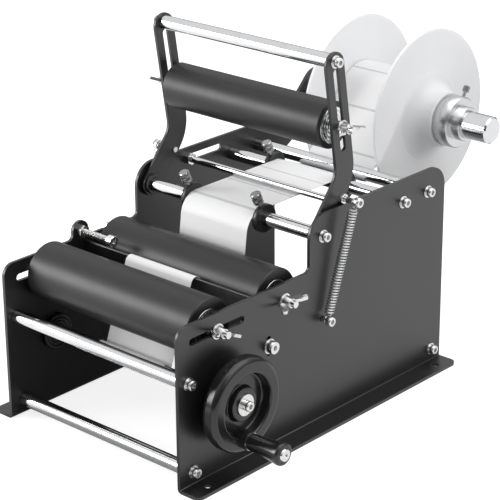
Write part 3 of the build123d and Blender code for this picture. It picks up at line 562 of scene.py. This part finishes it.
aluminium, shader, place = finish("turned_aluminium", Metallic=1.0)
tool_marks = noise(place, 1500.0, 2.0, (1.0, 0.02, 0.02))
face_marks = ring_noise(place, 1500.0)
feed(
    shader,
    Base_Color=blend_colours(tool_marks, (0.50, 0.505, 0.51, 1.0), (0.68, 0.685, 0.69, 1.0)),
    Roughness=0.20 + 0.12 * tool_marks + 0.08 * face_marks,
    Normal=relief(tool_marks * 0.5 + face_marks * 0.5, 0.00003),
)
dress(aluminium, "reel_collar")
soften(reel_collar_edge, "reel_collar")
knurled_screw(
    "reel_knurled_screw",
    "reel_thumb_screw",
    "reel_lock_thumb",
    joints["reel_thumb_turn"],
    reel_seat,
    reel_neck,
    reel_thumb_diameter,
    reel_thumb_length,
)


# Label roll and web: coated white paper labels on glassine backing, wound on a card core. A narrow
# gap between labels shows the backing. The web runs over the rods and the peel blade to the take-up
# shaft, and its front part gives where the blade lifts it.
roll_low, roll_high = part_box("label_roll")
roll_radius = (roll_high.z - roll_low.z) / 2
label_pitch = 0.0426
label_gap = 0.0014
first_gap_angle = radians(111)
first_gap_run = 0.2138
label_white = (0.83, 0.83, 0.835, 1.0)
backing_grey = (0.58, 0.59, 0.60, 1.0)
ripple_share = 8.0
gap_share = 2.0
slant_reach = 0.1
slant_extra = 0.58
level_reach = 0.3
bend_reach = 0.024
bend_extra = 0.65
drop_reach = 0.05
drop_extra = 0.92
crease_angle = radians(30)
roller_low, roller_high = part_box("rear_roller")
web_split = (roller_low + roller_high) / 2
blade_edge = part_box("peel_plate")[1].z
lift_reach = 0.026
lift_margin = 0.004
lift_loops = 8
lift_start = Vector((0.0, 0.0, blade_edge - lift_reach))
lift_end = Vector((0.0, 0.0, blade_edge - lift_margin))


def paper_finish(name, run):
    """Coated paper whose label gaps are at even steps of a run, given as a function of the place."""
    material, shader, place = finish(name, Specular_IOR_Level=0.4)
    travelled = run(place)
    middle = travelled.maths("PINGPONG", travelled, label_pitch / 2)
    gap = 1 - ramp(middle, label_gap / 2, label_gap)
    fibre = noise(place, 700.0, 4.0)
    ripple = noise(place, 22.0, 2.0)
    feed(
        shader,
        Base_Color=blend_colours(gap, label_white, backing_grey),
        Roughness=0.44 + 0.10 * fibre,
        Normal=relief(ripple * ripple_share + fibre - gap * gap_share, 0.00004),
    )
    return material


def roll_run(place):
    """Distance round the roll, from the angle about its axis and its outer radius."""
    angle = place.maths("ARCTAN2", along(place, "Z") - reel_z, along(place, "Y") - reel_y)
    return (angle - first_gap_angle) * roll_radius


def limited(value, low, high):
    """A value held between two limits."""
    return value.node("Clamp", {}, {"Value": value, "Min": low, "Max": high})


def web_run(place):
    """Distance along the web: a slant from the roll, a level stretch, the bend and the drop after it."""
    rear_low, rear_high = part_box("rear_web_rod")
    pivot_low, pivot_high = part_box("arm_pivot_rod")
    rear_y = (rear_low.y + rear_high.y) / 2
    pivot_y = (pivot_low.y + pivot_high.y) / 2
    slant = limited(along(place, "Y") - rear_y, 0.0, slant_reach)
    level = limited(along(place, "Y"), pivot_y, level_reach)
    bend = limited(pivot_y - along(place, "Y"), 0.0, bend_reach)
    drop = limited(pivot_high.z - along(place, "Z"), 0.0, drop_reach)
    return first_gap_run - level - slant_extra * slant + bend_extra * bend + drop_extra * drop


def web_part(name, in_front):
    """The web in front of the rear roller's lowest line, looped where it gives, or the web behind it."""
    shape = bmesh.new()
    shape.from_mesh(nodes["label_web"].data)
    bmesh.ops.remove_doubles(shape, verts=shape.verts, dist=facet_gap)

    def cut(at, across, **cleared):
        pieces = shape.verts[:] + shape.edges[:] + shape.faces[:]
        bmesh.ops.bisect_plane(shape, geom=pieces, plane_co=at, plane_no=across, **cleared)

    cut(web_split, (0, 1, 0), clear_outer=in_front, clear_inner=not in_front)
    bmesh.ops.holes_fill(shape, edges=[edge for edge in shape.edges if edge.is_boundary])
    if in_front:
        for loop in range(lift_loops + 1):
            cut(lift_start.lerp(lift_end, loop / lift_loops), (0, 0, 1))
    piece = mesh_piece(name, shape, web_paper)
    piece.data.shade_smooth()
    piece.data.set_sharp_from_angle(angle=crease_angle)
    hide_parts("label_web")
    return piece


dress(paper_finish("label_roll_paper", roll_run), "label_roll")
web_paper = paper_finish("label_web_paper", web_run)
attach(web_part("printed_web", False), "frame")
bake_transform(web_part("peeled_web", True))


# Take-up shaft and handwheel: a black steel shaft in flanged bearings, turned by a glossy moulded
# wheel. The wheel's grip spins on a shouldered bright spindle.
takeup_y, takeup_z = joints["handwheel_spin"]["pos_m"][1:]
# Groove and land colours of the take-up bearings: the darker groove colour is painted shade in the
# shield rings.
blackened_steel = ((0.035, 0.035, 0.037, 1.0), (0.16, 0.16, 0.165, 1.0))
dress(oxide, "takeup_shaft")
dress(bearing_finish("takeup_bearing_steel", takeup_y, takeup_z, *blackened_steel), "takeup_bearings")

gloss, shader, place = finish("glossy_black_plastic", Specular_IOR_Level=0.5)
peel = noise(place, 260.0, 2.0)
smear = noise(place, 40.0, 4.0)
feed(
    shader,
    Base_Color=blend_colours(smear, (0.009, 0.009, 0.0095, 1.0), (0.016, 0.016, 0.017, 1.0)),
    Roughness=0.14 + 0.14 * smear,
    Normal=relief(peel, 0.00003),
)
dress(gloss, "handwheel", "handle_grip")
dress(chrome, "grip_spindle")
plate_fasteners("handwheel_screw")


# Studio: a pale floor in a white surround that is darker behind the camera, a soft box at the front
# left, a broad one overhead and one at the right rear, and the camera at the photograph's angle. Metal
# mirrors a painted glow of the open floor, and painted shade between the plates, where that glow is left
# out.
floor_size = 8.0
floor_drop = 0.0003
painted_shade_reach = 0.09
painted_glow_reach = 0.13
mirror_share = 0.85
ambient_level = 0.56
horizon_level = 0.25
horizon_height = 0.1
zenith_height = 0.6
dark_side = (0.67, -0.74)
dark_share = 0.7
dark_start = 0.3
dark_full = 0.9

floor_mesh = bpy.data.meshes.new("studio_floor")
corners = [(-1, -1), (1, -1), (1, 1), (-1, 1)]
floor_mesh.from_pydata(
    [(x * floor_size / 2, y * floor_size / 2, -floor_drop) for x, y in corners], [], [(0, 1, 2, 3)]
)
studio_floor = placed("studio_floor", floor_mesh)
pale, shader, place = finish("pale_floor", Roughness=0.9, Specular_IOR_Level=0.0, Emission_Strength=0.8)
across = along(place, "X")
# Painted shade: the floor's glow that metal mirrors fades out between the plates, so they reflect a dark
# floor there.
painted_floor_glow = ramp(across.maths("ABSOLUTE", across), painted_shade_reach, painted_glow_reach)
glossy = place.node("LightPath", output="Is Glossy Ray")
through = place.node("LightPath", output="Is Transmission Ray")
seen = place.node("LightPath", output="Is Camera Ray") + painted_floor_glow * (mirror_share * glossy + through)
mottling = noise(place, 3.0)
feed(
    shader,
    Base_Color=blend_colours(mottling, (0.48, 0.48, 0.48, 1.0), (0.50, 0.50, 0.50, 1.0)),
    Emission_Color=blend_colours(seen, (0.0, 0.0, 0.0, 1.0), (1.0, 1.0, 1.0, 1.0)),
)
floor_mesh.materials.append(pale)

world = bpy.data.worlds.new("white_surround")
bpy.context.scene.world = world
world.use_nodes = True
surround = world.node_tree.nodes["Background"]
sky = Signal(surround.outputs[0])
heading = sky.node("TexCoord", output="Generated")
raised = ramp(along(heading, "Z"), horizon_height, zenith_height)
behind_camera = dark_side[0] * along(heading, "X") + dark_side[1] * along(heading, "Y")
lit = 1 - dark_share * ramp(behind_camera, dark_start, dark_full)
glow = (horizon_level + (1.0 - horizon_level) * raised) * lit
seen_straight = sky.node("LightPath", output="Is Camera Ray")
seen_through = sky.node("LightPath", output="Is Transmission Ray")
mirrored = sky.node("LightPath", output="Is Glossy Ray")
direct = seen_straight + seen_through
level = ambient_level + (1.0 - ambient_level) * direct + (glow - ambient_level) * mirrored
surround.inputs["Color"].default_value = (1.0, 1.0, 1.0, 1.0)
world.node_tree.links.new(level.socket, surround.inputs["Strength"])


def soft_light(name, at, aim, size, power):
    """A square soft box that faces a point."""
    lamp = bpy.data.lights.new(name, "AREA")
    lamp.size = size
    lamp.energy = power
    holder = placed(name, lamp)
    holder.location = at
    holder.rotation_mode = "QUATERNION"
    holder.rotation_quaternion = (aim - Vector(at)).to_track_quat("-Z", "Y")


machine_middle = (cad_box[0] + cad_box[1]) / 2
soft_light("front_left_box", at=(-1.15, -1.2, 0.62), aim=machine_middle, size=0.75, power=21.0)
soft_light("upper_box", at=(0.4, 0.4, 2.0), aim=machine_middle, size=2.2, power=17.0)
soft_light("right_box", at=(1.5, 0.5, 1.4), aim=machine_middle, size=2.0, power=12.0)

camera_azimuth = radians(42.098)
camera_elevation = radians(21.670)
camera_roll = radians(-0.373)
camera_distance = 1.68297
camera_slide = 0.016452
camera_lift = 0.120940
focal_pixels = 1903.41
image_pixels = 500
back = Vector(
    (
        sin(camera_azimuth) * cos(camera_elevation),
        -cos(camera_azimuth) * cos(camera_elevation),
        sin(camera_elevation),
    )
)
level_right = Vector((cos(camera_azimuth), sin(camera_azimuth), 0))
level_up = back.cross(level_right)
right = level_right * cos(camera_roll) + level_up * sin(camera_roll)
up = level_up * cos(camera_roll) - level_right * sin(camera_roll)
lens = bpy.data.cameras.new("photo_camera")
lens.sensor_width = 36.0
lens.lens = focal_pixels / image_pixels * lens.sensor_width
camera = placed("photo_camera", lens)
turn = Matrix((right, up, back)).transposed().to_4x4()
eye = back * camera_distance + right * camera_slide + up * camera_lift
camera.matrix_world = Matrix.Translation(eye) @ turn
bpy.context.scene.camera = camera
bpy.context.scene.view_settings.view_transform = "Standard"
